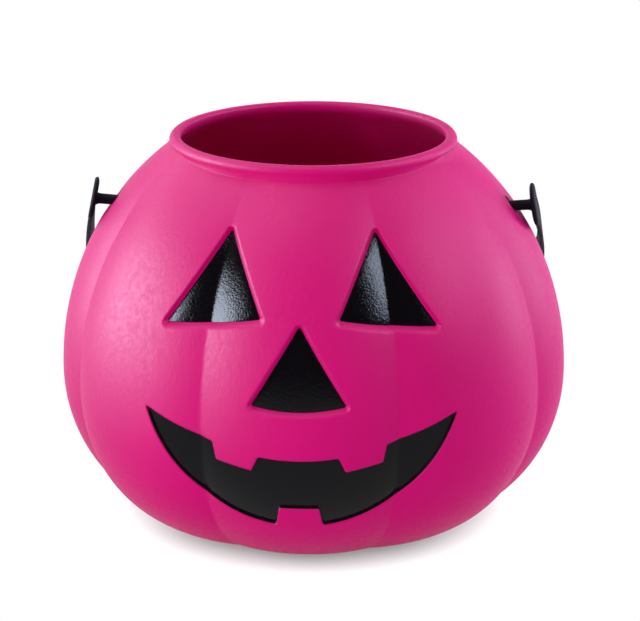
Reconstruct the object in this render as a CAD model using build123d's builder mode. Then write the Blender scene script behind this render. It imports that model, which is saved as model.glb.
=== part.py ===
from build123d import *
from math import acos, asin, atan2, cos, hypot, pi, radians, sin
import os

os.makedirs("parts", exist_ok=True)

# Millimetres.  +Z is up, the face looks along -Y, and the origin is the middle of the flat base.
# Body: a round pumpkin of equal lobes, standing on a flat base and open at the rim.
belly_radius = 107.5
belly_height = 63.0
base_radius = 51.7
neck_rise = 97.0
mouth_radius = 57.0
neck_width = 2.6
bead_width = 3.2
bead_height = 5.4
bead_bevel = 1.0
bead_seat = 0.6
wall = 1.6
groove_depth = 4.6
lobe_count = 8
lobe_power = 2.2
groove_fade_share = 0.45
flank_share = 0.66
angle_shares = (0, 0.2, 0.42, 0.66, 1)

# Face: sunk areas with a black coat on the floor of each.
recess_depth = 2.6
coat_thickness = 0.3
coat_inset = 0.3
coat_gap = 0.1
corner_round = 0.9
tooth_round = 1.1
face_start_share = 0.3
eye_apex_shares = (0.261, 0.807)
eye_outer_shares = (0.499, 0.446)
eye_inner_shares = (0.142, 0.503)
nose_apex_share = 0.49
nose_corner_shares = (0.175, 0.169)
nose_sag_share = 0.15
mouth_corner_shares = (0.573, 1.154)
mouth_upper_share = 0.924
mouth_lower_share = 0.408
tooth_root_shares = (0.146, 0.322)
tooth_inner_shares = (0.173, 0.836)
tooth_outer_shares = (0.307, 0.881)
low_tooth_root_share = 0.089
low_tooth_tip_shares = (0.078, 0.566)

# Handle: a flat strap with a round tab, a pin and a snap head at each end.
pin_share = 0.7375
pin_radius = 2.1
pin_clearance = 0.4
dimple_radius = 8.0
dimple_depth = 0.8
strap_thickness = 1.9
strap_width = 14.0
strap_edge = 0.5
tab_radius = 9.1
tab_tilt = 8.0
tab_standoff = 8.4
handle_splay = 8.5
handle_reach = 22.5
handle_straight = 76.0
rest_gap = 0.4
head_hold = 1.3
head_length = 4.2
head_tip_radius = 2.0
head_gap = 0.5

lobe_half = pi / lobe_count
neck_radius = mouth_radius + neck_width
neck_angle = acos(neck_radius / belly_radius)
crown_rise = neck_rise / sin(neck_angle)
neck_height = belly_height + neck_rise
rim_top = neck_height - bead_seat + bead_height
handle_depth = belly_radius + handle_reach
hole_radius = pin_radius + pin_clearance
head_radius = hole_radius + head_hold


def outside(angle):
    """Radius and height of the lobe crest at a profile angle, with the outward direction there."""
    if angle < 0:
        across = belly_radius - base_radius
        place = (base_radius + across * cos(angle), belly_height + belly_height * sin(angle))
        lean = (belly_height * cos(angle), across * sin(angle))
    else:
        place = (belly_radius * cos(angle), belly_height + crown_rise * sin(angle))
        lean = (crown_rise * cos(angle), belly_radius * sin(angle))
    length = hypot(lean[0], lean[1])
    return place[0], place[1], lean[0] / length, lean[1] / length


def lobed_form(depth):
    """Solid of the whole pumpkin, a given depth inside its outer surface."""
    low = [-pi / 2 * (1 - share) for share in angle_shares]
    high = [neck_angle * share for share in angle_shares[1:]]
    with BuildPart() as form:
        for angle in low + high:
            radius, height, out_r, out_z = outside(angle)
            fade = min(1, (1 - max(0, angle) / neck_angle) / groove_fade_share)
            crest = radius - depth * out_r
            sink = groove_depth * fade * (2 - fade) * radius / belly_radius
            flank = crest - sink * flank_share ** lobe_power
            valley = crest - sink
            with BuildSketch(Plane.XY.offset(height - depth * out_z)):
                with BuildLine():
                    for lobe in range(lobe_count):
                        middle = 2 * lobe_half * lobe - pi / 2
                        ends = (middle - lobe_half, middle + lobe_half)
                        sides = (middle - lobe_half * flank_share, middle + lobe_half * flank_share)
                        Spline(
                            (valley * cos(ends[0]), valley * sin(ends[0])),
                            (flank * cos(sides[0]), flank * sin(sides[0])),
                            (crest * cos(middle), crest * sin(middle)),
                            (flank * cos(sides[1]), flank * sin(sides[1])),
                            (valley * cos(ends[1]), valley * sin(ends[1])),
                        )
                make_face()
        loft()
    return form.part


def upper(shares):
    """Face point from its shares of the belly radius and of the rise from belly to neck."""
    return belly_radius * shares[0], belly_height + neck_rise * shares[1]


def lower(shares):
    """Face point from its shares of the belly radius and of the belly height."""
    return belly_radius * shares[0], belly_height * shares[1]


def mirrored(point):
    """The same face point on the other side of the middle."""
    return -point[0], point[1]


def eye_outline(side):
    """Triangle of one eye, with its corners rounded."""
    with BuildSketch(Plane.XZ.offset(face_start)) as outline:
        corners = [upper(eye_apex_shares), upper(eye_outer_shares), upper(eye_inner_shares)]
        with BuildLine():
            Polyline([(side * x, z) for x, z in corners], close=True)
        make_face()
        fillet(outline.vertices(), corner_round)
    return outline.sketch


def nose_outline():
    """Triangle of the nose with a bowed lower edge."""
    corner = upper(nose_corner_shares)
    apex = upper((0, nose_apex_share))
    sag = upper((0, nose_sag_share))
    with BuildSketch(Plane.XZ.offset(face_start)) as outline:
        with BuildLine():
            Polyline(mirrored(corner), apex, corner)
            ThreePointArc(corner, sag, mirrored(corner))
        make_face()
        fillet(outline.vertices(), corner_round)
    return outline.sketch


def mouth_outline():
    """Crescent of the mouth with two upper teeth and one lower tooth left standing."""
    corner = lower(mouth_corner_shares)
    tip_inner = lower(tooth_inner_shares)
    tip_outer = lower(tooth_outer_shares)
    root_inner = (belly_radius * tooth_root_shares[0], corner[1])
    root_outer = (belly_radius * tooth_root_shares[1], corner[1])
    low_tip = lower(low_tooth_tip_shares)
    low_root = (belly_radius * low_tooth_root_share, 0)
    with BuildSketch(Plane.XZ.offset(face_start)) as outline:
        with BuildLine():
            ThreePointArc(mirrored(corner), lower((0, mouth_upper_share)), corner)
            ThreePointArc(corner, lower((0, mouth_lower_share)), mirrored(corner))
        make_face()
        for side in (-1, 1):
            tooth = [root_inner, tip_inner, tip_outer, root_outer]
            with BuildLine():
                Polyline([(side * x, z) for x, z in tooth], close=True)
            make_face(mode=Mode.SUBTRACT)
        with BuildLine():
            Polyline([low_root, low_tip, mirrored(low_tip), mirrored(low_root)], close=True)
        make_face(mode=Mode.SUBTRACT)
        fillet(outline.vertices(), tooth_round)
    return outline.sketch


def ahead_of(outline, grow, form):
    """Everything in front of a form, within an outline grown by a given amount."""
    with BuildPart() as front:
        with BuildSketch(Plane.XZ.offset(face_start)):
            add(outline)
            if grow != 0:
                offset(amount=grow)
        extrude(amount=belly_radius)
        add(form, mode=Mode.SUBTRACT)
    return front.part


face_start = belly_radius * face_start_share
outer_form = lobed_form(0)
inner_form = lobed_form(wall)
floor_form = lobed_form(recess_depth)
coat_back = lobed_form(recess_depth - coat_gap)
coat_front = lobed_form(recess_depth - coat_gap - coat_thickness)
deep_form = lobed_form(recess_depth + wall)
outlines = {
    "left_eye_paint": eye_outline(-1),
    "right_eye_paint": eye_outline(1),
    "nose_paint": nose_outline(),
    "mouth_paint": mouth_outline(),
}

pin_height = belly_height + neck_rise * pin_share
pin_angle = asin((pin_height - belly_height) / crown_rise)
wall_radius, wall_height, wall_out, wall_up = outside(pin_angle)
dimple_sphere = (dimple_radius ** 2 + dimple_depth ** 2) / (2 * dimple_depth)
dimple_lift = dimple_sphere - dimple_depth

# The inside of the pail: it follows the outside one wall in, and swells inward behind each recess.
with BuildPart() as hollow:
    add(inner_form)
    for outline in outlines.values():
        add(ahead_of(outline, wall, deep_form), mode=Mode.SUBTRACT)
    for side in (-1, 1):
        centre = (side * (wall_radius + dimple_lift * wall_out), 0, wall_height + dimple_lift * wall_up)
        with Locations(centre):
            Sphere(dimple_sphere + wall, mode=Mode.SUBTRACT)
    with BuildSketch(Plane.XY.offset(belly_height)):
        Circle(mouth_radius)
    extrude(amount=crown_rise)

with BuildPart() as pail_body:
    add(outer_form)
    with BuildSketch(Plane.XZ) as bead:
        with Locations((mouth_radius + bead_width / 2, rim_top - bead_height / 2)):
            Rectangle(bead_width, bead_height)
        chamfer(bead.vertices(), bead_bevel)
    revolve(axis=Axis.Z)
    for outline in outlines.values():
        add(ahead_of(outline, 0, floor_form), mode=Mode.SUBTRACT)
    for side in (-1, 1):
        centre = (side * (wall_radius + dimple_lift * wall_out), 0, wall_height + dimple_lift * wall_up)
        with Locations(centre):
            Sphere(dimple_sphere, mode=Mode.SUBTRACT)
    add(hollow.part, mode=Mode.SUBTRACT)
    with BuildSketch(Plane.YZ):
        with Locations((0, pin_height)):
            Circle(hole_radius)
    extrude(amount=belly_radius, both=True, mode=Mode.SUBTRACT)
pail_body.part.label = "pail_body"
export_step(pail_body.part, "parts/pail_body.step")

# Each coat lies on the floor of its recess.
for name, outline in outlines.items():
    with BuildPart() as coat:
        add(ahead_of(outline, -coat_inset, coat_back))
        add(coat_front, mode=Mode.INTERSECT)
    coat.part.label = name
    export_step(coat.part, "parts/" + name + ".step")

# The strap hangs behind the pail and leans on the back of the belly.
tab_reach = wall_radius + tab_standoff
lean_in = handle_depth - strap_thickness
lean_half = strap_width / 2
rest_lean = acos((belly_radius + rest_gap) / hypot(lean_in, lean_half)) - atan2(lean_half, lean_in)
splay = radians(handle_splay)
strap_plane = Plane(
    origin=(0, 0, pin_height), x_dir=(1, 0, 0), z_dir=(0, sin(rest_lean), cos(rest_lean))
)
bend_start = (tab_reach + handle_straight * sin(splay), handle_straight * cos(splay))
bend_radius = (handle_depth - strap_thickness / 2 - bend_start[1]) / (1 + sin(splay))
bend_centre = (bend_start[0] - bend_radius * cos(splay), bend_start[1] + bend_radius * sin(splay))


def strap_side(shift):
    """Points of one face of the strap: its end, start of the bend, middle and end of the bend."""
    half_turn = (pi / 2 - splay) / 2
    radius = bend_radius + shift
    end = (tab_reach + shift * cos(splay), -shift * sin(splay))
    start = (bend_start[0] + shift * cos(splay), bend_start[1] - shift * sin(splay))
    turn = (bend_centre[0] + radius * cos(half_turn), bend_centre[1] + radius * sin(half_turn))
    stop = (bend_centre[0], bend_centre[1] + radius)
    return end, start, turn, stop


head_face = outside(asin((pin_height + head_radius - belly_height) / crown_rise))[0]
head_face = head_face - (wall + dimple_depth) / wall_out - head_gap

with BuildPart() as handle:
    with BuildSketch(strap_plane):
        with BuildLine():
            outer_points = strap_side(strap_thickness / 2)
            inner_points = strap_side(-strap_thickness / 2)
            for points in (outer_points, inner_points):
                for side in (-1, 1):
                    end, start, turn, stop = [(side * x, y) for x, y in points]
                    Line(end, start)
                    ThreePointArc(start, turn, stop)
                Line(mirrored(points[3]), points[3])
            Line(outer_points[0], inner_points[0])
            Line(mirrored(outer_points[0]), mirrored(inner_points[0]))
        make_face()
    extrude(amount=strap_width / 2, both=True)
    strap_sides = handle.faces().filter_by(Axis((0, 0, 0), strap_plane.z_dir))
    chamfer(strap_sides.edges(), strap_edge)
    for side in (-1, 1):
        tilt = radians(tab_tilt)
        tab_plane = Plane(
            origin=(side * tab_reach, 0, pin_height), x_dir=(0, 1, 0), z_dir=(side * cos(tilt), 0, sin(tilt))
        )
        with BuildSketch(tab_plane):
            Circle(tab_radius)
        extrude(amount=strap_thickness / 2, both=True)
        pin_plane = Plane(origin=(side * tab_reach, 0, pin_height), x_dir=(0, 1, 0), z_dir=(-side, 0, 0))
        with BuildSketch(pin_plane):
            Circle(pin_radius)
        extrude(amount=tab_reach - head_face + head_length / 2)
        with BuildSketch(pin_plane.offset(tab_reach - head_face)):
            Circle(head_radius)
        with BuildSketch(pin_plane.offset(tab_reach - head_face + head_length)):
            Circle(head_tip_radius)
        loft()
handle.part.label = "handle"
export_step(handle.part, "parts/handle.step")
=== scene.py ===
import math

import bmesh
import bpy
import numpy as np
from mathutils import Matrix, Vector, geometry, kdtree


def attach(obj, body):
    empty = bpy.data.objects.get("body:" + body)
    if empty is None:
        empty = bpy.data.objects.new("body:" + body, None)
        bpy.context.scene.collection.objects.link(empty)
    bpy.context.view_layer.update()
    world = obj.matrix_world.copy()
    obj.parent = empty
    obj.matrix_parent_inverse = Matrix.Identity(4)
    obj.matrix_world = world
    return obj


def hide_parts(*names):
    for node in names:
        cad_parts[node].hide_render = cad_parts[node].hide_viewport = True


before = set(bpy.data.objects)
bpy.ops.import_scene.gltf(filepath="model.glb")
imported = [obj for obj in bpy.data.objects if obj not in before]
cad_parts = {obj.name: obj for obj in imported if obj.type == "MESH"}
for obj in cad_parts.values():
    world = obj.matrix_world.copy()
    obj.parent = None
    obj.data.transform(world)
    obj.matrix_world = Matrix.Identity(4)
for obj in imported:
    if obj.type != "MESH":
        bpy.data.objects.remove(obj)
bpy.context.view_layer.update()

# Sizes in millimetres, as in the solids. +Z is up and the face looks along -Y.
MM = 0.001

# Body: a round pumpkin of equal lobes, open at the rim.
BELLY_R = 107.5
BELLY_Z = 63.0
BASE_R = 51.7
BASE_SHARES = (1, 0.75, 0.5, 0.25)
NECK_RISE = 97.0
NECK_R = 59.6
NECK_T = math.acos(NECK_R / BELLY_R)
CROWN = NECK_RISE / math.sin(NECK_T)
WALL = 1.6

# Grooves between the lobes: depth, sharpness, and how they fade towards the neck.
LOBES = 8
LOBE = 2 * math.pi / LOBES
GROOVE = 4.6
GROOVE_POWER = 2.2
GROOVE_SOFT = 0.008
GROOVE_FADE = 0.36
GROOVE_LAST = 0.36

# Shoulder: it dips under the front of the collar. Cosines are of the angle from the front.
NECK_DIP = 2.0
DIP_COSINES = (0.5, 0.96)
DIP_START_SHARE = 0.6

# Collar: a fillet that is tighter in front, a wall, and a rounded lip of two arcs.
FILLET = 4.0
FILLET_BEND = 5.0
FILLET_SHARES = (*np.linspace(1, 0.1, 9), 0.03, 0)
SKIN_T = math.acos((NECK_R + FILLET) / BELLY_R)
COLLAR_COSINES = (0.25, 0.62)
COLLAR_TIGHT = 0.93
COLLAR_SHARES = (0.03, 0.35, 0.7)
LIP_FOOT = (59.75, 161.6)
LIP_OUTER, LIP_OUTER_R = (57.9, 162.5), 2.3
LIP_INNER, LIP_INNER_R = (56.9, 163.3), 1.5
LIP_ARCS = ((LIP_OUTER, LIP_OUTER_R, -24, 90, 11), (LIP_INNER, LIP_INNER_R, 90, 180, 7))
LIP_INSIDE = [(55.5, 162.0), (55.95, 160.9), (56.9, 160.0)]
INSIDE_SHARES = (0, 0.5, 1)

# Pin holes, each in a shallow dimple. They are drawn higher, because sinking moves them down too.
PIN_SHARE = 0.7375
PIN_Z = BELLY_Z + NECK_RISE * PIN_SHARE
PIN_T = math.asin((PIN_Z - BELLY_Z) / CROWN)
HOLE_R = 3.4
HOLE_RISE = 1.3
HOLE_POINTS = 32
HOLE_SLACK = 0.985
DIMPLE_R = 9.0
DIMPLE = 1.4
DIMPLE_POWER = 1.5
PIN_RINGS = ((3.8, 32), (4.5, 32), (5.4, 32), (6.5, 32), (7.8, 36), (9.1, 40))
PIN_CLEAR = 10.5
BESIDE_X = 60.0

# Face outlines in x and z. The mouth has two upper teeth and one lower tooth.
EYE_CORNERS = [(28.0, 141.2), (53.4, 106.4), (34.0, 108.2), (15.4, 111.9)]
NOSE_TOP = 110.2
NOSE_CORNER = (18.7, 79.5)
NOSE_FOOT = 77.7
NOSE_ARC_POINTS = 15
MOUTH_CORNER = (61.6, 73.2)
MOUTH_UPPER = 58.4
MOUTH_LOWER = 27.3
MOUTH_ARC_POINTS = 61
TOOTH_ROOT_IN, TOOTH_ROOT_OUT = 15.8, 34.5
TOOTH_TIP_IN, TOOTH_TIP_OUT = (18.5, 53.1), (33.0, 55.6)
LOW_ROOT = 9.4
LOW_TIP = (8.0, 36.7)
ROOT_GAP = 1.0
CORNER_ROUND = 0.7
TOOTH_ROUND = 1.0
OUTLINE_STEP = 0.8

# Recesses: depth, and the width of the lip round the eyes and the nose, and of the mouth's wall.
RECESS = 2.6
LIP = 1.9
LIP_LEAST = 0.45
LIP_MOST = 3.2
LIP_POWER = 1.5
MOUTH_IN = 0.35
MOUTH_LIP = 0.85
MOUTH_DEPTH = 1.4
MOUTH_COSINE = 0.5
INNER_GROW = 1.2
FRONT_COSINE = 0.3
FAR = 99.0

# Mesh: rows and columns of the skins, rows beside the outlines, and the least gaps between points.
SKIN_ROWS = 72
LOBE_SHARES = [0, 0.1, 0.2, 0.3, 0.4, 0.5, 0.6, 0.69, 0.77, 0.84, 0.89, 0.93, 0.96, 0.98]
LIP_STEPS = (-0.9, -0.3, 0.14, 0.3, 0.5, 0.75, 1.05, 1.4, 1.8, 2.3, 2.8, 3.4)
MOUTH_STEPS = (-1.4, -0.8, -0.36, -0.24, -0.12, 0.12, 0.24, 0.36, 0.52, 1.1)
CLEAR_INSIDE, CLEAR_OUTSIDE = 0.7, 0.6
ROW_GAP = 0.12
GRID_GAP = 0.5
MERGE = 1e-5
TINY = 1e-9
OFFSET_SLACK = 0.04

# Coats of paint: how far they stand above and reach below the floor, and their points.
COAT_TOP = 0.16
COAT_CROWN = 0.1
COAT_BACK = 0.06
COAT_STEP = 1.6
COAT_MARGIN = 1.2
COAT_STEPS = (-0.15, -0.5)
MOUTH_COAT_STEPS = (-0.1, -0.2, -0.3, -0.4, -0.6, -1.0)
COAT_ROW_GAP, COAT_LINE_GAP, COAT_GRID_GAP = 0.08, 0.2, 0.6
GROOVE_SHARES = (0.86, 0.93, 0.975, 1.0, 1.025, 1.07, 1.14)
GROOVE_STEP = 0.9
GROOVE_MARGIN, MOUTH_GROOVE_MARGIN = 0.4, 1.0

# Points of a piece closer than its weld are joined. Edges under SHORT_EDGE, in metres, are dissolved.
WELD = 0.002
COAT_WELD = 0.0005
SHORT_EDGE = 1e-7


# The pail's surface, by angle round the axis (0 at the front) and angle along the profile.
def profile(t):
    """Radius, height and outward direction of the lobe crest."""
    low = t < 0
    across = BELLY_R - BASE_R
    r = np.where(low, BASE_R + across * np.cos(t), BELLY_R * np.cos(t))
    z = np.where(low, BELLY_Z * (1 + np.sin(t)), BELLY_Z + CROWN * np.sin(t))
    a = np.where(low, BELLY_Z * np.cos(t), CROWN * np.cos(t))
    b = np.where(low, across * np.sin(t), BELLY_R * np.sin(t))
    n = np.hypot(a, b)
    return r, z, a / n, b / n


def smooth(value, low, high):
    """A soft step from 0 at low to 1 at high."""
    u = np.clip((value - low) / (high - low), 0, 1)
    return u * u * (3 - 2 * u)


def neck_dip(theta):
    """How much lower the shoulder meets the collar in front."""
    return NECK_DIP * smooth(np.cos(theta), *DIP_COSINES)


def surface(theta, t, depth):
    """Points a given depth under the lobed skin."""
    r, z, out_r, out_z = profile(t)
    z = z - neck_dip(theta) * smooth(t, DIP_START_SHARE * NECK_T, NECK_T)
    k = np.abs((theta / LOBE + 0.5) % 1 - 0.5) * 2
    k = np.clip(1 - np.sqrt((1 - k) ** 2 + GROOVE_SOFT**2), 0, 1)
    fade = np.clip((1 - np.maximum(t, 0) / NECK_T) / GROOVE_FADE, 0, 1)
    sink = GROOVE * np.maximum(fade * (2 - fade), GROOVE_LAST) * r / BELLY_R * k**GROOVE_POWER
    rr = r - sink - depth * out_r
    return np.stack([rr * np.sin(theta), -rr * np.cos(theta), z - depth * out_z], -1)


def find(target, axes, theta, t, depth):
    """Surface angles at which two coordinates of the surface take the target values."""
    theta, t = theta.copy(), t.copy()
    step, most, least, lowest, rounds = 1e-4, 0.2, 1e-6, -1.5, 14
    for _ in range(rounds):
        here = surface(theta, t, depth)[:, axes]
        du = (surface(theta + step, t, depth)[:, axes] - here) / step
        dv = (surface(theta, t + step, depth)[:, axes] - here) / step
        miss = target - here
        det = du[:, 0] * dv[:, 1] - du[:, 1] * dv[:, 0]
        det = np.where(np.abs(det) < least, least, det)
        theta += np.clip((miss[:, 0] * dv[:, 1] - miss[:, 1] * dv[:, 0]) / det, -most, most)
        t += np.clip((du[:, 0] * miss[:, 1] - du[:, 1] * miss[:, 0]) / det, -most, most)
        t = np.clip(t, lowest, NECK_T)
    return theta, t


def height_angle(z):
    """Angle along the profile at a height, kept short of the ends."""
    most = 0.99
    return np.arcsin(np.clip(np.where(z < BELLY_Z, z / BELLY_Z - 1, (z - BELLY_Z) / CROWN), -most, most))


def find_front(points, depth):
    """Surface angles of face points given by their x and z at a depth."""
    near_radius, most = 100, 0.9
    theta = np.arcsin(np.clip(points[:, 0] / near_radius, -most, most))
    return find(points, [0, 2], theta, height_angle(points[:, 1]), depth)


# Outlines of the sunk areas, as closed lines of points in x and z.
def rounded(corners, radius, step):
    """A polygon with rounded corners, sampled along its length. Nearly straight corners stay."""
    straight, longest_share, points = 2.8, 0.45, 6
    corners = [np.array(c, float) for c in corners]
    line = []
    count = len(corners)
    for i, here in enumerate(corners):
        to_last = corners[i - 1] - here
        to_next = corners[(i + 1) % count] - here
        last_length, next_length = np.linalg.norm(to_last), np.linalg.norm(to_next)
        a, b = to_last / last_length, to_next / next_length
        angle = math.acos(max(-1, min(1, float(a @ b))))
        if angle > straight:
            line.append(here)
            continue
        cut = min(radius / math.tan(angle / 2), longest_share * min(last_length, next_length))
        for u in np.linspace(0, 1, points):
            line.append((1 - u) ** 2 * (here + a * cut) + 2 * u * (1 - u) * here + u**2 * (here + b * cut))
    line = np.array(line)
    gaps = np.linalg.norm(np.roll(line, -1, 0) - line, axis=1)
    whole = []
    for i, gap in enumerate(gaps):
        parts = max(1, int(round(gap / step)))
        for j in range(parts):
            whole.append(line[i] + (line[(i + 1) % len(line)] - line[i]) * j / parts)
    return np.array(whole)


def arc(a, middle, b, count):
    """Points on the circle through three points, from a to b."""
    (x1, y1), (x2, y2), (x3, y3) = a, middle, b
    d = 2 * (x1 * (y2 - y3) + x2 * (y3 - y1) + x3 * (y1 - y2))
    s1, s2, s3 = x1 * x1 + y1 * y1, x2 * x2 + y2 * y2, x3 * x3 + y3 * y3
    cx = (s1 * (y2 - y3) + s2 * (y3 - y1) + s3 * (y1 - y2)) / d
    cy = (s1 * (x3 - x2) + s2 * (x1 - x3) + s3 * (x2 - x1)) / d
    start, turn, end = (math.atan2(y - cy, x - cx) for x, y in (a, middle, b))
    full = 2 * math.pi
    forward = (end - start) % full
    if (turn - start) % full > forward:
        forward -= full
    r = math.hypot(x1 - cx, y1 - cy)
    angles = [start + forward * u for u in np.linspace(0, 1, count)]
    return [(cx + r * math.cos(v), cy + r * math.sin(v)) for v in angles]


def mirrored(point):
    """The same point on the other side of the face."""
    return -point[0], point[1]


def on_line(line, x):
    """The point of a curved line at x."""
    xs, zs = zip(*sorted(line))
    return x, float(np.interp(x, xs, zs))


def mouth_corners():
    """Corners of the mouth with its teeth, from the left corner round."""
    left = mirrored(MOUTH_CORNER)
    upper = arc(left, (0, MOUTH_UPPER), MOUTH_CORNER, MOUTH_ARC_POINTS)
    lower = arc(MOUTH_CORNER, (0, MOUTH_LOWER), left, MOUTH_ARC_POINTS)
    points = [p for p in upper if p[0] < -TOOTH_ROOT_OUT - ROOT_GAP]
    points += [on_line(upper, -TOOTH_ROOT_OUT), mirrored(TOOTH_TIP_OUT)]
    points += [mirrored(TOOTH_TIP_IN), on_line(upper, -TOOTH_ROOT_IN)]
    points += [p for p in upper if abs(p[0]) < TOOTH_ROOT_IN - ROOT_GAP]
    points += [on_line(upper, TOOTH_ROOT_IN), TOOTH_TIP_IN]
    points += [TOOTH_TIP_OUT, on_line(upper, TOOTH_ROOT_OUT)]
    points += [p for p in upper if p[0] > TOOTH_ROOT_OUT + ROOT_GAP]
    points += [p for p in lower[1:] if p[0] > LOW_ROOT + ROOT_GAP]
    points += [on_line(lower, LOW_ROOT), LOW_TIP, mirrored(LOW_TIP), on_line(lower, -LOW_ROOT)]
    points += [p for p in lower[:-1] if p[0] < -LOW_ROOT - ROOT_GAP]
    return points


def nose_corners():
    """Corners of the nose, which sags a little at its foot."""
    foot = arc(NOSE_CORNER, (0, NOSE_FOOT), mirrored(NOSE_CORNER), NOSE_ARC_POINTS)
    return [(0.0, NOSE_TOP), NOSE_CORNER] + foot[1:]


OUTLINES = {
    "left_eye_paint": rounded([mirrored(p) for p in EYE_CORNERS], CORNER_ROUND, OUTLINE_STEP),
    "right_eye_paint": rounded(EYE_CORNERS, CORNER_ROUND, OUTLINE_STEP),
    "nose_paint": rounded(nose_corners(), CORNER_ROUND, OUTLINE_STEP),
    "mouth_paint": rounded(mouth_corners(), TOOTH_ROUND, OUTLINE_STEP),
}
# The eyes and nose are drawn on their sunk floors, the mouth on the skin.
FLOORS = {"left_eye_paint": RECESS, "right_eye_paint": RECESS, "nose_paint": RECESS, "mouth_paint": 0.0}


def nearest(points, outline):
    """Distance from each point to a closed outline, less than zero inside it, and the way out from it."""
    margin, batch, least_rise = 8, 4000, 1e-12
    out = np.full(len(points), FAR)
    way = np.zeros((len(points), 2))
    low, high = outline.min(0) - margin, outline.max(0) + margin
    near = np.where(((points > low) & (points < high)).all(1))[0]
    a, b = outline, np.roll(outline, -1, 0)
    for chunk in np.array_split(near, max(1, len(near) // batch)):
        p = points[chunk][:, None, :]
        ab = (b - a)[None]
        u = np.clip(((p - a[None]) * ab).sum(2) / (ab**2).sum(2), 0, 1)
        apart = p - a[None] - u[..., None] * ab
        gaps = np.linalg.norm(apart, axis=2)
        best = gaps.argmin(1)
        gap = gaps[np.arange(len(chunk)), best]
        over = (a[None, :, 1] > p[:, :, 1]) != (b[None, :, 1] > p[:, :, 1])
        rise = np.where(b[:, 1] == a[:, 1], least_rise, b[:, 1] - a[:, 1])
        cross = a[None, :, 0] + (p[:, :, 1] - a[None, :, 1]) / rise[None] * (b - a)[None, :, 0]
        inside = (over & (p[:, :, 0] < cross)).sum(1) % 2 == 1
        out[chunk] = np.where(inside, -gap, gap)
        way[chunk] = apart[np.arange(len(chunk)), best] / np.maximum(gap, TINY)[:, None]
    return out, way


def distance(points, outline):
    """Distance from each point to a closed outline, less than zero inside it."""
    return nearest(points, outline)[0]


def pin_distance(points):
    """Distance of skin points from the middle of their pin hole, seen from the side."""
    rho = np.hypot(points[:, 1], points[:, 2] - PIN_Z - HOLE_RISE)
    return np.where(np.abs(points[:, 0]) > BESIDE_X, rho, FAR)


def lip_share(gap, way, theta, t):
    """Share of the way up a recess wall, which leans more where the skin slopes away."""
    _, _, out_r, out_z = profile(t)
    shift = RECESS * (way[:, 0] * out_r * np.sin(theta) + way[:, 1] * out_z)
    return np.clip(gap / np.clip(LIP - shift, LIP_LEAST, LIP_MOST), 0, 1)


def mouth_sink(gap, theta, t):
    """How far back the mouth is drawn, straight along Y, at a distance from its outline."""
    _, _, out_r, _ = profile(t)
    share = np.clip((gap + MOUTH_IN) / MOUTH_LIP, 0, 1)
    return MOUTH_DEPTH / np.maximum(out_r * np.cos(theta), MOUTH_COSINE) * (1 - share) ** LIP_POWER


def sunk(theta, t, depth, grow):
    """Points at a depth under the skin, pushed in by the face's recesses and the dimples at the pins."""
    down, back = np.zeros(len(theta)), np.zeros(len(theta))
    front = np.cos(theta) > FRONT_COSINE
    th, tt = theta[front], t[front]
    for name, outline in OUTLINES.items():
        gap, way = nearest(surface(th, tt, FLOORS[name])[:, [0, 2]], outline)
        if FLOORS[name]:
            sink = RECESS * (1 - lip_share(gap - grow, way, th, tt)) ** LIP_POWER
            down[front] = np.maximum(down[front], sink)
        else:
            back[front] = mouth_sink(gap - grow, th, tt)
    rho = pin_distance(surface(theta, t, 0))
    down += DIMPLE * np.clip(1 - (rho / DIMPLE_R) ** 2, 0, 1) ** DIMPLE_POWER
    points = surface(theta, t, depth + down)
    points[:, 1] += back
    return points


# Length along the profile, so that rows of points are evenly spaced on the unrolled sheet.
PROFILE_POINTS = 2000
PROFILE_T = np.linspace(-math.pi / 2, SKIN_T, PROFILE_POINTS)
PROFILE_S = np.concatenate([[0], np.cumsum(np.hypot(*np.diff(profile(PROFILE_T)[:2])))])


def to_flat(theta, t):
    """Place of surface angles on the unrolled sheet."""
    return np.stack([theta * BELLY_R, np.interp(t, PROFILE_T, PROFILE_S)], -1)


def from_flat(points):
    """Surface angles of places on the unrolled sheet."""
    return points[:, 0] / BELLY_R, np.interp(points[:, 1], PROFILE_S, PROFILE_T)


def columns():
    """Angles of the columns of points, closer together towards the grooves."""
    found = []
    for lobe in range(-LOBES // 2, LOBES // 2):
        crest = lobe * LOBE
        found += [crest + LOBE / 2 * k for k in LOBE_SHARES] + [crest + LOBE / 2]
        found += [crest + LOBE - LOBE / 2 * k for k in LOBE_SHARES[:0:-1]]
    return np.array(sorted(found) + [math.pi])


COLUMNS = columns()


def hole_ring(side, radius, count):
    """Sheet places of a circle round one pin."""
    turn = np.linspace(0, 2 * math.pi, count, endpoint=False)
    target = np.stack([radius * np.sin(turn), PIN_Z + HOLE_RISE + radius * np.cos(turn)], -1)
    theta = np.full(count, side * math.pi / 2)
    return to_flat(*find(target, [1, 2], theta, np.full(count, PIN_T), 0))


def beside_outline(outline, gap):
    """Points at a given distance from an outline, with fans round its corners."""
    straight, fan_points, tiny = 0.97, 5, 1e-6
    a, b = np.roll(outline, 1, 0), np.roll(outline, -1, 0)
    area = 0.5 * np.sum(outline[:, 0] * b[:, 1] - b[:, 0] * outline[:, 1])
    found = []
    for here, last, after in zip(outline, a, b):
        d0, d1 = here - last, after - here
        n0 = np.array([d0[1], -d0[0]]) / np.linalg.norm(d0) * np.sign(area)
        n1 = np.array([d1[1], -d1[0]]) / np.linalg.norm(d1) * np.sign(area)
        for u in [0.5] if float(n0 @ n1) > straight else np.linspace(0, 1, fan_points):
            n = n0 * (1 - u) + n1 * u
            size = np.linalg.norm(n)
            if size > tiny:
                found.append(here + n / size * gap)
    found = np.array(found)
    return found[np.abs(distance(found, outline) - gap) < OFFSET_SLACK]


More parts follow.
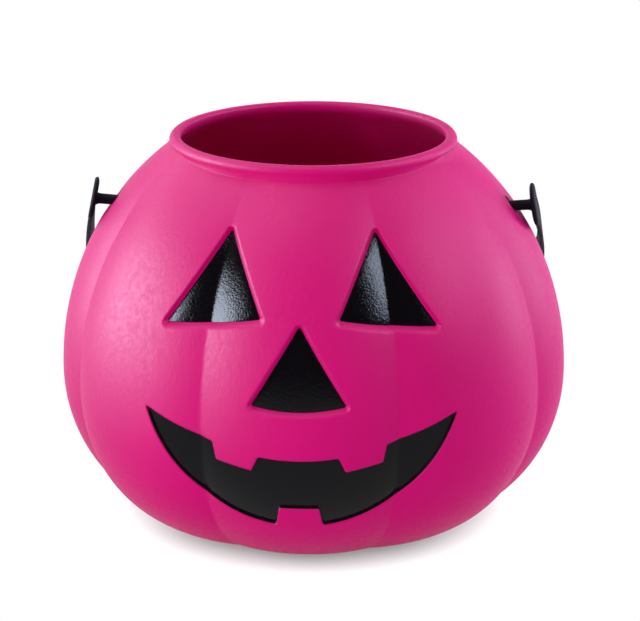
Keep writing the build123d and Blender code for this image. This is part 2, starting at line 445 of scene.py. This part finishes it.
def sheet_points(inner):
    """Points of the unrolled skin, with rows along the face's edges and rings round the pins."""
    rows = np.linspace(0, PROFILE_S[-1], SKIN_ROWS)
    grid = np.stack(np.meshgrid(COLUMNS * BELLY_R, rows), -1).reshape(-1, 2)
    theta, t = from_flat(grid)
    edge = (grid[:, 1] == 0) | (grid[:, 1] == rows[-1]) | (np.abs(np.abs(theta) - math.pi) < TINY)
    keep = pin_distance(surface(theta, t, 0)) >= PIN_CLEAR
    extra, loops = [], []
    if not inner:
        front = np.cos(theta) > FRONT_COSINE
        for name, outline in OUTLINES.items():
            depth = FLOORS[name]
            gap = np.where(front, distance(surface(theta, t, depth)[:, [0, 2]], outline), FAR)
            steps = LIP_STEPS if depth else MOUTH_STEPS
            keep &= ~((gap > steps[0] - CLEAR_INSIDE) & (gap < steps[-1] + CLEAR_OUTSIDE))
            loops.append(to_flat(*find_front(outline, depth)))
            for offset in steps:
                extra.append(to_flat(*find_front(beside_outline(outline, offset), depth)))
    for side in (-1, 1):
        loops.append(hole_ring(side, HOLE_R, HOLE_POINTS))
        for radius, count in PIN_RINGS:
            extra.append(hole_ring(side, radius, count))
    return grid[keep | edge], loops, extra


def thin(points, others, gap):
    """Those points that keep a distance from others and from each other."""
    tree = kdtree.KDTree(len(others) + len(points))
    for i, p in enumerate([*others, *points]):
        tree.insert((p[0], p[1], 0), i)
    tree.balance()
    kept, dropped = [], set()
    for i, p in enumerate(points, len(others)):
        close = [j for _, j, _ in tree.find_range((p[0], p[1], 0), gap)]
        if any(j < i and j not in dropped for j in close):
            dropped.add(i)
        else:
            kept.append(p)
    return np.array(kept).reshape(-1, 2)


def flat_vectors(points):
    """Points in the form that the triangulation takes."""
    return [Vector((float(x), float(y))) for x, y in points]


def triangulate(points, loops):
    """Triangles over flat points, with the loops as edges; also the points that result."""
    edges = []
    start = len(points)
    for loop in loops:
        edges += [(start + i, start + (i + 1) % len(loop)) for i in range(len(loop))]
        start += len(loop)
    given = np.concatenate([points, *loops])
    verts, _, faces, origin, _, _ = geometry.delaunay_2d_cdt(flat_vectors(given), edges, [], 0, MERGE)
    flat = np.array([given[o[0]] if o else (v[0], v[1]) for v, o in zip(verts, origin)])
    return flat, [tuple(f) for f in faces]


class Builder:
    """Collects vertices and faces of one mesh, in millimetres."""

    def __init__(self):
        self.points, self.faces = [], []

    def add(self, points, faces, flip=False):
        """Adds points and the faces over them, and gives the number of the first point."""
        start = len(self.points)
        self.points += [tuple(p) for p in points]
        self.faces += [tuple(start + i for i in (reversed(f) if flip else f)) for f in faces]
        return start

    def object(self, name, weld=WELD):
        """A smooth object of all that was added, with close points welded."""
        mesh = bpy.data.meshes.new(name)
        scaled = [(x * MM, y * MM, z * MM) for x, y, z in self.points]
        mesh.from_pydata(scaled, [], self.faces)
        obj = bpy.data.objects.new(name, mesh)
        bpy.context.scene.collection.objects.link(obj)
        bm = bmesh.new()
        bm.from_mesh(mesh)
        bmesh.ops.remove_doubles(bm, verts=bm.verts, dist=weld * MM)
        bmesh.ops.dissolve_degenerate(bm, edges=bm.edges, dist=SHORT_EDGE)
        bmesh.ops.recalc_face_normals(bm, faces=bm.faces)
        for f in bm.faces:
            f.smooth = True
        bm.to_mesh(mesh)
        bm.free()
        return obj


def ribbon(rows):
    """Quads between rows of points of equal length."""
    n = len(rows[0])
    faces = []
    for i in range(len(rows) - 1):
        for j in range(n - 1):
            a = i * n + j
            faces.append((a, a + 1, a + n + 1, a + n))
    return np.concatenate(rows), faces


# The pail's shell.
def add_skins(build):
    """The outer and inner skin, and the walls of the pin holes between them."""
    rims = []
    for inner in (False, True):
        grid, loops, extra = sheet_points(inner)
        fixed = np.concatenate(loops)
        rows = thin(np.concatenate(extra), fixed, ROW_GAP)
        grid = thin(grid, np.concatenate([fixed, rows]), GRID_GAP)
        flat, faces = triangulate(np.concatenate([grid, rows]), loops)
        theta, t = from_flat(flat)
        depth, grow = (WALL, INNER_GROW) if inner else (0, 0)
        skin = surface(theta, t, 0)
        middle = np.array([skin[list(f)].mean(0) for f in faces])
        in_hole = pin_distance(middle) < HOLE_R * HOLE_SLACK
        shown = [f for f, hole in zip(faces, in_hole) if not hole]
        build.add(sunk(theta, t, depth, grow), shown, flip=inner)
        rims.append([sunk(*from_flat(ring), depth, grow) for ring in loops[-2:]])
    for outside, inside in zip(*rims):
        n = len(outside)
        faces = [(i, (i + 1) % n, n + (i + 1) % n, n + i) for i in range(n)]
        build.add(np.concatenate([outside, inside]), faces)


def add_base(build):
    """The base and the inner floor, in rings to the middle."""
    for depth in (0, WALL):
        foot = surface(COLUMNS, np.full(len(COLUMNS), -math.pi / 2), depth)
        points, faces = ribbon([foot * np.array([share, share, 1]) for share in BASE_SHARES])
        middle = len(points)
        last = middle - len(foot)
        faces += [(last + j, last + j + 1, middle) for j in range(len(foot) - 1)]
        build.add([*points, (0, 0, foot[0][2])], faces)


def round_ring(radius, height):
    """A ring of points at a radius and a height."""
    return np.stack([radius * np.sin(COLUMNS), -radius * np.cos(COLUMNS), height + 0 * COLUMNS], -1)


def shoulder_ring(share, depth):
    """A ring on the shoulder, at a share of the fillet's width from the neck."""
    t = math.acos((NECK_R + FILLET * share) / BELLY_R)
    return surface(COLUMNS, np.full(len(COLUMNS), t), depth)


def lip_line():
    """Radius and height along the lip, from its outer foot over the top to the inside."""
    line = []
    for (r, z), bend, start, end, count in LIP_ARCS:
        for u in np.linspace(start, end, count):
            a = math.radians(u)
            line.append((r + bend * math.cos(a), z + bend * math.sin(a)))
    return line + LIP_INSIDE


def add_collar(build):
    """The collar: a fillet from the shoulder, then up, over the lip and down to the inner skin."""
    front = smooth(np.cos(COLUMNS), *COLLAR_COSINES)
    reach = FILLET * (1 - COLLAR_TIGHT * front)
    strip = []
    for share in FILLET_SHARES:
        ring = shoulder_ring(share, 0)
        ring[:, 2] += np.clip(reach - FILLET * share, 0, None) ** 2 / (2 * FILLET_BEND * reach / FILLET)
        strip.append(ring)
    radius, height = np.hypot(ring[:, 0], ring[:, 1]), ring[:, 2]
    for share in COLLAR_SHARES:
        r, z = radius + (LIP_FOOT[0] - radius) * share, height + (LIP_FOOT[1] - height) * share
        strip.append(round_ring(r, z))
    strip += [round_ring(r, z) for r, z in lip_line()]
    strip += [shoulder_ring(share, WALL) for share in INSIDE_SHARES]
    build.add(*ribbon(strip))


def pail():
    """The pail's shell: both skins with the pin holes, the base and the collar."""
    build = Builder()
    add_skins(build)
    add_base(build)
    add_collar(build)
    return build.object("pail_shell")


shell = pail()
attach(shell, "pail")
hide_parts("pail_body")


# Paint in the recesses.
def groove_lines(outline, depth):
    """Points along the two grooves that cross the face, so that the paint bends with them."""
    t = height_angle(np.arange(outline[:, 1].min(), outline[:, 1].max(), GROOVE_STEP))
    lines = []
    for side in (-1, 1):
        for k in GROOVE_SHARES:
            lines.append(surface(np.full(len(t), side * LOBE / 2 * k), t, depth)[:, [0, 2]])
    lines = np.concatenate(lines)
    return lines[distance(lines, outline) < -(GROOVE_MARGIN if depth else MOUTH_GROOVE_MARGIN)]


def coat_points(outline, depth):
    """Points over one sunk area: its outline, rows beside it, the grooves and a grid."""
    low, high = outline.min(0), outline.max(0)
    xs, zs = np.arange(low[0], high[0], COAT_STEP), np.arange(low[1], high[1], COAT_STEP)
    grid = np.stack(np.meshgrid(xs, zs), -1).reshape(-1, 2)
    grid = grid[distance(grid, outline) < -COAT_MARGIN]
    steps = COAT_STEPS if depth else MOUTH_COAT_STEPS
    rows = thin(np.concatenate([beside_outline(outline, step) for step in steps]), outline, COAT_ROW_GAP)
    lines = thin(groove_lines(outline, depth), rows, COAT_LINE_GAP)
    grid = thin(grid, np.concatenate([rows, lines]), COAT_GRID_GAP)
    return np.concatenate([outline, rows, lines, grid])


def coat(name, outline):
    """A thin coat of paint on the floor of one recess. In the mouth it also covers the walls."""
    depth = FLOORS[name]
    coords = flat_vectors(coat_points(outline, depth))
    loop = list(range(len(outline)))
    verts, _, faces, origin, _, _ = geometry.delaunay_2d_cdt(coords, [], [loop], 1, MERGE)
    flat = np.array([(v[0], v[1]) for v in verts])
    theta, t = find_front(flat, depth)
    gap = distance(flat, outline)
    crown = COAT_CROWN * np.clip(-gap, 0, 1)
    if depth:
        top, back = surface(theta, t, depth - COAT_TOP - crown), surface(theta, t, depth + COAT_BACK)
    else:
        top, back = surface(theta, t, 0), surface(theta, t, 0)
        top[:, 1] += mouth_sink(gap + COAT_BACK, theta, t) - COAT_BACK - crown
        back[:, 1] += mouth_sink(gap, theta, t) + COAT_BACK
    build = Builder()
    start = build.add(top, faces)
    under = build.add(back, faces, flip=True)
    place = {o[0]: i for i, o in enumerate(origin) if o}
    ring = [place[i] for i in loop if i in place]
    for here, after in zip(ring, ring[1:] + ring[:1]):
        build.faces.append((start + here, start + after, under + after, under + here))
    obj = build.object(name.replace("_paint", "_coat"), weld=COAT_WELD)
    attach(obj, "pail")
    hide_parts(name)
    return obj


coats = [coat(name, outline) for name, outline in OUTLINES.items()]


# Handle: a strap with a tab, a pin and a snap head at each end. Left is -1 and right is 1.
WALL_R = float(profile(np.array([PIN_T]))[0][0])
TAB_X = {-1: WALL_R + 8.2, 1: WALL_R + 8.0}
TAB_R = 9.1
TAB_T = 2.2
TAB_EDGE = 1.1
TAB_INNER_EDGE = 3.2
TAB_INNER_TURN = np.linspace(0.25, math.pi / 2, 7)
TAB_OUTER_TURN = np.linspace(0.35, 1.3, 4)
TAB_LIFT = 0.35
LIFT_SPAN = (20, 100)
TAB_POINTS = 64
CENTRE_R = 0.02

# The pin and the snap head, as distances along the pin and radii.
PIN_DROP = 0.3
PIN_R = 2.15
PIN_FILLET = [(0.2, 3.0), (1.1, 2.8), (1.5, 2.5), (2.1, 2.3), (3.2, 2.2)]
PIN_POINTS = 40
HEAD_IN = 7.1
SNAP_HEAD = [(0, 3.5), (0.3, 3.8), (0.9, 3.7), (3.6, 2.2), (4.1, 1.5), (4.2, CENTRE_R)]

# The strap: section, reach behind the pail, and the arms' outward angle in degrees along their length.
STRAP_T = 1.8
STRAP_W = 14.0
STRAP_EDGE = 0.7
STRAP_EDGE_POINTS = 5
STRAP_GAP = 0.4
REACH = BELLY_R + 22.5
BACK_R = REACH - STRAP_T
STRAIGHT = 78.0
SPLAY_SHARES = (0, 0.4, 1)
SPLAY = {-1: (10.7, 9.2, 7.4), 1: (7.5, 5.0, 0.5)}
TILT = {-1: math.radians(7.5), 1: math.radians(6.8)}
TILT_SPAN = (75, 125)
ARM_STEPS, BEND_POINTS, BACK_POINTS = 25, 34, 8
LEAN = math.acos((BELLY_R + STRAP_GAP) / math.hypot(BACK_R, STRAP_W / 2)) - math.atan2(STRAP_W / 2, BACK_R)
ALONG = np.array([0, math.cos(LEAN), -math.sin(LEAN)])
WIDE = np.array([0, math.sin(LEAN), math.cos(LEAN)])
ACROSS = np.array([1.0, 0, 0])


def add_tube(build, points, count):
    """A closed tube through rings of points."""
    faces = []
    last = len(points) - count
    for start in range(0, last, count):
        for j in range(count):
            k = (j + 1) % count
            faces.append((start + j, start + k, start + count + k, start + count + j))
    faces.append(tuple(range(count))[::-1])
    faces.append(tuple(last + j for j in range(count)))
    build.add(points, faces)


def lathe(build, centre, axis, line, count):
    """A turned piece along an axis, through pairs of distance along it and radius."""
    u = np.cross(axis, (0, 0, 1))
    u = u / np.linalg.norm(u)
    v = np.cross(axis, u)
    points = []
    for along, radius in line:
        for j in range(count):
            a = 2 * math.pi * j / count
            points.append(centre + axis * along + (u * math.cos(a) + v * math.sin(a)) * radius)
    add_tube(build, points, count)


def strap_path(side):
    """One half of the strap seen along its width: across, along, and the outward direction in both."""
    turn = np.radians(np.interp(np.linspace(0, 1, ARM_STEPS + 1), SPLAY_SHARES, SPLAY[side]))
    splay = float(turn[-1])
    step = STRAIGHT / ARM_STEPS
    xs = TAB_X[side] + step * (np.cumsum(np.sin(turn)) - np.sin(turn))
    ds = step * (np.cumsum(np.cos(turn)) - np.cos(turn))
    path = [(x, d, math.cos(a), -math.sin(a)) for x, d, a in zip(xs[:-1], ds[:-1], turn[:-1])]
    bend = (REACH - STRAP_T / 2 - ds[-1]) / (1 + math.sin(splay))
    cx, cd = xs[-1] - bend * math.cos(splay), ds[-1] + bend * math.sin(splay)
    for a in np.linspace(-splay, math.pi / 2, BEND_POINTS):
        path.append((cx + bend * math.cos(a), cd + bend * math.sin(a), math.cos(a), math.sin(a)))
    for u in np.linspace(0, 1, BACK_POINTS)[1:]:
        path.append((cx * (1 - u), cd + bend, 0.0, 1.0))
    return path


def strap_half(side):
    """Middle line of one half of the strap, from its tab: place, outward and width directions."""
    half = []
    for x, d, nx, nd in strap_path(side):
        # The strap leans in at the tab and stands straight at the back.
        twist = TILT[side] * (1 - float(smooth(np.array(d), *TILT_SPAN)))
        lift = TAB_LIFT * (1 - float(smooth(np.array(d), *LIFT_SPAN)))
        out = side * ACROSS * nx + ALONG * nd
        turned = out * math.cos(twist) + WIDE * math.sin(twist)
        wide = WIDE * math.cos(twist) - out * math.sin(twist)
        half.append((side * ACROSS * x + ALONG * d + np.array([0, 0, PIN_Z + lift]), turned, wide))
    return half


def add_strap(build):
    """The flat strap from tab to tab, with rounded edges."""
    flat_t, flat_w = STRAP_T / 2 - STRAP_EDGE, STRAP_W / 2 - STRAP_EDGE
    section = []
    for sx, sy, first in ((1, 1, 0), (-1, 1, 90), (-1, -1, 180), (1, -1, 270)):
        for u in np.linspace(0, 90, STRAP_EDGE_POINTS):
            a = math.radians(first + u)
            section.append((sx * flat_t + STRAP_EDGE * math.cos(a), sy * flat_w + STRAP_EDGE * math.sin(a)))
    points = []
    for base, out, wide in strap_half(1) + strap_half(-1)[-2::-1]:
        points += [base + out * p + wide * q for p, q in section]
    add_tube(build, points, len(section))


def add_tab(build, centre, axis):
    """A round tab. Its edge is rounder on the inside, so that it clears the body as it turns over."""
    half, inner, outer = TAB_T / 2, TAB_R - TAB_INNER_EDGE, TAB_R - TAB_EDGE
    line = [(-half, CENTRE_R), (-half, inner)]
    for a in TAB_INNER_TURN:
        line.append((-half * math.cos(a), inner + TAB_INNER_EDGE * math.sin(a)))
    for a in TAB_OUTER_TURN:
        line.append((half * math.sin(a), outer + TAB_EDGE * math.cos(a)))
    line += [(half, outer), (half, CENTRE_R)]
    lathe(build, centre, axis, line, TAB_POINTS)


def add_pin(build, centre, side):
    """A pin, with a fillet at the tab, that runs down to its hole and ends in a snap head."""
    way = np.array([side * (WALL_R - WALL / 2), 0, PIN_Z - PIN_DROP]) - centre
    head = TAB_X[side] - WALL_R + HEAD_IN
    line = PIN_FILLET + [(head, PIN_R)] + [(head + along, radius) for along, radius in SNAP_HEAD]
    lathe(build, centre, way / np.linalg.norm(way), line, PIN_POINTS)


def handle():
    """The strap with its end tabs, pins and snap heads."""
    build = Builder()
    add_strap(build)
    for side in (-1, 1):
        end, axis, _ = strap_half(side)[0]
        add_tab(build, end, axis)
        add_pin(build, end, side)
    return build.object("handle_strap")


strap = handle()
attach(strap, "handle")
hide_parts("handle")


# Materials.
class Tree:
    """Short ways to add nodes to the node tree of a material or a world."""

    def __init__(self, owner):
        owner.use_nodes = True
        self.nodes, self.links = owner.node_tree.nodes, owner.node_tree.links

    def node(self, kind):
        """A new node of a kind."""
        return self.nodes.new("ShaderNode" + kind)

    def noise(self, scale, detail=2.0, rough=0.5, upright=1.0):
        """Noise over the object, drawn out along its height where upright is less than 1."""
        place, shape, tex = self.node("TexCoord"), self.node("Mapping"), self.node("TexNoise")
        shape.inputs["Scale"].default_value = (1.0, 1.0, upright)
        tex.inputs["Scale"].default_value = scale
        tex.inputs["Detail"].default_value = detail
        tex.inputs["Roughness"].default_value = rough
        self.links.new(place.outputs["Object"], shape.inputs["Vector"])
        self.links.new(shape.outputs["Vector"], tex.inputs["Vector"])
        return tex.outputs["Fac"]

    def ramp(self, value, to, span=(0.0, 1.0)):
        """A value brought from one span to another."""
        node = self.node("MapRange")
        node.inputs["From Min"].default_value, node.inputs["From Max"].default_value = span
        node.inputs["To Min"].default_value, node.inputs["To Max"].default_value = to
        self.links.new(value, node.inputs["Value"])
        return node.outputs["Result"]

    def mix(self, value, first, second):
        """A colour between two colours."""
        node = self.node("Mix")
        node.data_type = "RGBA"
        node.inputs["A"].default_value = (*first, 1)
        node.inputs["B"].default_value = (*second, 1)
        self.links.new(value, node.inputs["Factor"])
        return node.outputs["Result"]

    def bump(self, value, strength, height, normal=None):
        """A bumped normal, by a height in millimetres."""
        node = self.node("Bump")
        node.inputs["Strength"].default_value = strength
        node.inputs["Distance"].default_value = height * MM
        self.links.new(value, node.inputs["Height"])
        if normal is not None:
            self.links.new(normal, node.inputs["Normal"])
        return node.outputs["Normal"]

    def largest(self, first, second):
        """The larger of two values."""
        node = self.node("Math")
        node.operation = "MAXIMUM"
        self.links.new(first, node.inputs[0])
        self.links.new(second, node.inputs[1])
        return node.outputs[0]

    def blend(self, share, first, second):
        """A shader between two shaders."""
        node = self.node("MixShader")
        self.links.new(share, node.inputs["Fac"])
        self.links.new(first, node.inputs[1])
        self.links.new(second, node.inputs[2])
        return node.outputs[0]

    def seen_rays(self):
        """1 for rays that show the background: camera, glossy and transmission rays."""
        path = self.node("LightPath")
        first = self.largest(path.outputs["Is Camera Ray"], path.outputs["Is Glossy Ray"])
        return self.largest(first, path.outputs["Is Transmission Ray"])


NOISE_MIDDLE = (0.3, 0.7)


def connect(made, tree, colour, roughness, normal, specular):
    """Joins what a finish is made of to the material's shader."""
    shader = tree.nodes["Principled BSDF"]
    tree.links.new(colour, shader.inputs["Base Color"])
    tree.links.new(roughness, shader.inputs["Roughness"])
    tree.links.new(normal, shader.inputs["Normal"])
    shader.inputs["Specular IOR Level"].default_value = specular
    return made


def pink_plastic():
    """Satin pink plastic with orange peel and faint upright streaks."""
    made = bpy.data.materials.new("pink_plastic")
    tree = Tree(made)
    broad, fine = tree.noise(18, detail=3), tree.noise(1400, detail=3, rough=0.6)
    peel, streak = tree.noise(520), tree.noise(900, rough=0.6, upright=0.2)
    colour = tree.mix(tree.ramp(broad, (0, 1), NOISE_MIDDLE), (0.71, 0.0, 0.185), (0.75, 0.001, 0.2))
    roughness = tree.ramp(peel, (0.44, 0.58), NOISE_MIDDLE)
    normal = tree.bump(peel, 0.42, 0.15)
    normal = tree.bump(fine, 0.4, 0.06, normal)
    normal = tree.bump(streak, 0.6, 0.13, normal)
    return connect(made, tree, colour, roughness, normal, specular=0.1)


def black_paint():
    """Glossy black paint with a fine grain."""
    made = bpy.data.materials.new("black_paint")
    tree = Tree(made)
    grain, ripple = tree.noise(1150, rough=0.6), tree.noise(500)
    colour = tree.mix(grain, (0.002, 0.0015, 0.0025), (0.004, 0.003, 0.005))
    roughness = tree.ramp(ripple, (0.1, 0.17), NOISE_MIDDLE)
    normal = tree.bump(ripple, 0.3, 0.1)
    normal = tree.bump(grain, 0.8, 0.14, normal)
    return connect(made, tree, colour, roughness, normal, specular=0.12)


def black_plastic():
    """Dull black plastic."""
    made = bpy.data.materials.new("black_plastic")
    tree = Tree(made)
    grain, broad = tree.noise(1100, detail=3, rough=0.6), tree.noise(60)
    colour = tree.mix(broad, (0.009, 0.005, 0.011), (0.013, 0.008, 0.016))
    roughness = tree.ramp(grain, (0.52, 0.68), NOISE_MIDDLE)
    return connect(made, tree, colour, roughness, tree.bump(grain, 0.3, 0.05), specular=0.04)


pink, paint, plastic = pink_plastic(), black_paint(), black_plastic()
shell.data.materials.append(pink)
for piece in coats:
    piece.data.materials.append(paint)
strap.data.materials.append(plastic)

# Floor, light and camera, in metres.
scene = bpy.context.scene
MIDDLE = Vector((0, 0, 0.08))
FLOOR_HALF = 6.0
FLOOR_GREY = 0.75
FLOOR_LIT = 0.3
# Painted shadow on the floor: how far ambient occlusion looks and with how many samples, the glow's least
# and full strength, and the distances over which it fades to plain white.
SHADE_REACH = 0.4
SHADE_SAMPLES = 32
SHADE_LOW = 0.13
SHADE_FULL = 0.34
SHADE_FADE = (0.08, 0.1)
SKY_LIGHT = 0.42
SKY_SHOWN = (0.1, 1.0)
SKY_SPAN = (-0.3, 0.5)


def floor():
    """A pale floor. Where it is seen, the rest is white, and the pail's close, soft shadow is painted: a
    glow that dims where ambient occlusion finds the pail near, over a little real lamp light and its
    shadow.
    """
    mesh = bpy.data.meshes.new("floor")
    half = FLOOR_HALF
    corners = [(-half, -half, 0), (half, -half, 0), (half, half, 0), (-half, half, 0)]
    mesh.from_pydata(corners, [], [(0, 1, 2, 3)])
    obj = bpy.data.objects.new("floor", mesh)
    scene.collection.objects.link(obj)
    made = bpy.data.materials.new("floor")
    tree = Tree(made)
    tree.nodes.clear()
    plain, lit = tree.node("BsdfDiffuse"), tree.node("BsdfDiffuse")
    plain.inputs["Color"].default_value = (FLOOR_GREY, FLOOR_GREY, FLOOR_GREY, 1)
    lit.inputs["Color"].default_value = (FLOOR_LIT, FLOOR_LIT, FLOOR_LIT, 1)
    open_sky = tree.node("AmbientOcclusion")
    open_sky.samples = SHADE_SAMPLES
    open_sky.inputs["Distance"].default_value = SHADE_REACH
    glow, white, shade = tree.node("Emission"), tree.node("Emission"), tree.node("AddShader")
    # Painted shadow: the glow is dimmed by ambient occlusion near the pail. Only the faint lit diffuse part
    # under it holds real shadow from the lamps.
    strength = tree.ramp(open_sky.outputs["AO"], (SHADE_LOW, 1), (0.0, SHADE_FULL))
    tree.links.new(strength, glow.inputs["Strength"])
    tree.links.new(lit.outputs[0], shade.inputs[0])
    tree.links.new(glow.outputs[0], shade.inputs[1])
    place, length = tree.node("NewGeometry"), tree.node("VectorMath")
    length.operation = "LENGTH"
    tree.links.new(place.outputs["Position"], length.inputs[0])
    far = tree.ramp(length.outputs["Value"], (0, 1), SHADE_FADE)
    seen = tree.blend(far, shade.outputs[0], white.outputs[0])
    shader = tree.blend(tree.seen_rays(), plain.outputs[0], seen)
    tree.links.new(shader, tree.node("OutputMaterial").inputs["Surface"])
    mesh.materials.append(made)


def studio():
    """A world with a white backdrop, whose reflection is bright behind the object and dim in front."""
    world = bpy.data.worlds.new("studio")
    scene.world = world
    tree = Tree(world)
    tree.nodes.clear()
    shown, light = tree.node("Background"), tree.node("Background")
    shown.inputs["Color"].default_value = (1, 1, 1, 1)
    light.inputs["Color"].default_value = (1, 1, 1, 1)
    light.inputs["Strength"].default_value = SKY_LIGHT
    place, split, path = tree.node("TexCoord"), tree.node("SeparateXYZ"), tree.node("LightPath")
    tree.links.new(place.outputs["Generated"], split.inputs[0])
    behind = tree.ramp(split.outputs["Y"], SKY_SHOWN, SKY_SPAN)
    direct = tree.largest(path.outputs["Is Camera Ray"], path.outputs["Is Transmission Ray"])
    tree.links.new(tree.largest(direct, behind), shown.inputs["Strength"])
    shader = tree.blend(tree.seen_rays(), light.outputs[0], shown.outputs[0])
    tree.links.new(shader, tree.node("OutputWorld").inputs["Surface"])


def around(azimuth, elevation, far):
    """A place round the pail, by degrees to the left of the front and above the floor."""
    a, e = math.radians(azimuth), math.radians(elevation)
    return Vector((-math.sin(a) * math.cos(e), -math.cos(a) * math.cos(e), math.sin(e))) * far + MIDDLE


def lamp(name, place, size, radiance, colour=(1, 1, 1), diffuse=True, glossy=True):
    """A soft box of a given brightness, aimed at the pail."""
    data = bpy.data.lights.new(name, "AREA")
    data.shape = "RECTANGLE"
    data.size, data.size_y = size
    data.energy = radiance * math.pi * size[0] * size[1]
    data.color = colour
    obj = bpy.data.objects.new(name, data)
    scene.collection.objects.link(obj)
    obj.location = place
    obj.rotation_euler = (MIDDLE - place).to_track_quat("-Z", "Y").to_euler()
    obj.visible_diffuse, obj.visible_glossy = diffuse, glossy


floor()
studio()

# Lamps without diffuse light only draw gleams on the plastic and the paint.
DAYLIGHT = (0.93, 0.95, 1.0)
COOL = (0.72, 0.82, 1.0)
BLUISH = (0.68, 0.78, 1.0)
lamp("key", around(60, 14, 1.15), (0.4, 0.74), 4.2, DAYLIGHT)
lamp("left_gleam", around(82, 13, 1.0), (1.1, 0.5), 42.0, COOL, diffuse=False)
lamp("back_gleam", around(132, 36, 1.2), (0.5, 0.5), 11.0, COOL, diffuse=False)
lamp("top_gleam", around(75, 70, 1.2), (0.6, 0.5), 14.0, COOL, diffuse=False)
lamp("right_gleam", around(-70, 34, 1.1), (0.3, 0.55), 30.0, BLUISH, diffuse=False)
lamp("right_high", around(-105, 40, 1.1), (0.6, 0.6), 10.0, BLUISH, diffuse=False)
lamp("right_strip", around(-118, 8, 1.2), (0.5, 0.48), 12.0, BLUISH)
lamp("front", around(8, 9, 1.3), (1.1, 0.3), 3.0, glossy=False)
lamp("overhead", Vector((0.0, 0.05, 1.35)), (1.1, 1.1), 1.1)

# Camera: a long lens, above and a little to the right. Pixels are those of the photograph.
PHOTO_WIDTH = 640
PHOTO_MIDDLE = (320, 310.5)
AIM_PIXEL = (313.3, 324.8)
PIXELS_PER_MM = 2.3321
SENSOR = 36.0
NEAREST, FARTHEST = 0.05, 50
DISTANCE = 1050
TURN, RISE = math.radians(3.2), math.radians(17.97)
cam_data = bpy.data.cameras.new("camera")
cam = bpy.data.objects.new("camera", cam_data)
scene.collection.objects.link(cam)
scene.camera = cam
back = Vector((math.sin(TURN) * math.cos(RISE), -math.cos(TURN) * math.cos(RISE), math.sin(RISE)))
cam.location = MIDDLE + back * (DISTANCE * MM)
cam.rotation_mode = "QUATERNION"
cam.rotation_quaternion = (-back).to_track_quat("-Z", "Y")
cam_data.sensor_width = SENSOR
cam_data.lens = PIXELS_PER_MM * DISTANCE / PHOTO_WIDTH * SENSOR
cam_data.shift_x = (PHOTO_MIDDLE[0] - AIM_PIXEL[0]) / PHOTO_WIDTH
cam_data.shift_y = (AIM_PIXEL[1] - PHOTO_MIDDLE[1]) / PHOTO_WIDTH
cam_data.clip_start, cam_data.clip_end = NEAREST, FARTHEST

scene.view_settings.view_transform = "Standard"
